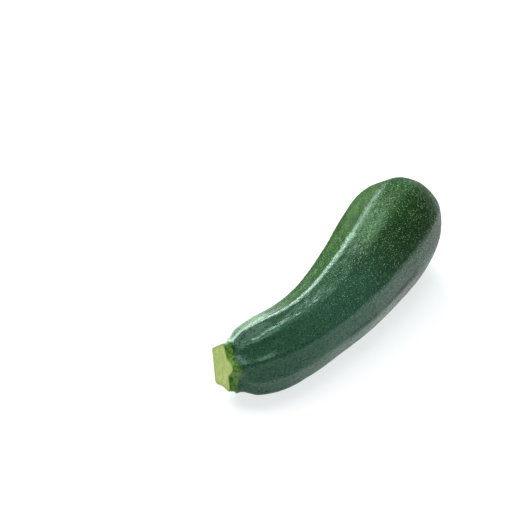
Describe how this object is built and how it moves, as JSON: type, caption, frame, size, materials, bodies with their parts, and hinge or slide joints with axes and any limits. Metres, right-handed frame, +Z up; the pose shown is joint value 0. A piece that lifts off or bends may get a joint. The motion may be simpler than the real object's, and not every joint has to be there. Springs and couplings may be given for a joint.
{
  "type": "courgette",
  "caption": "Whole dark green courgette lying on its side, gently bowed, with a waisted neck, ribbed shoulder, fuller blossom end and a short cut five-cornered stem.",
  "frame": {"origin": "on the table, under the middle of the courgette's outline seen from above", "axes": "+X from the cut stem to the blossom end, +Z up from the table, the bowed side towards -Y"},
  "size_m": [0.1652, 0.051, 0.0472],
  "materials": {
    "skin": "waxy dark green skin with fine pale flecks, semi-gloss",
    "stem": "pale green cut stem with a darker ribbed wall, matt"
  },
  "bodies": {
    "root": {"fruit": "skin", "stem": "stem"}
  },
  "joints": []
}
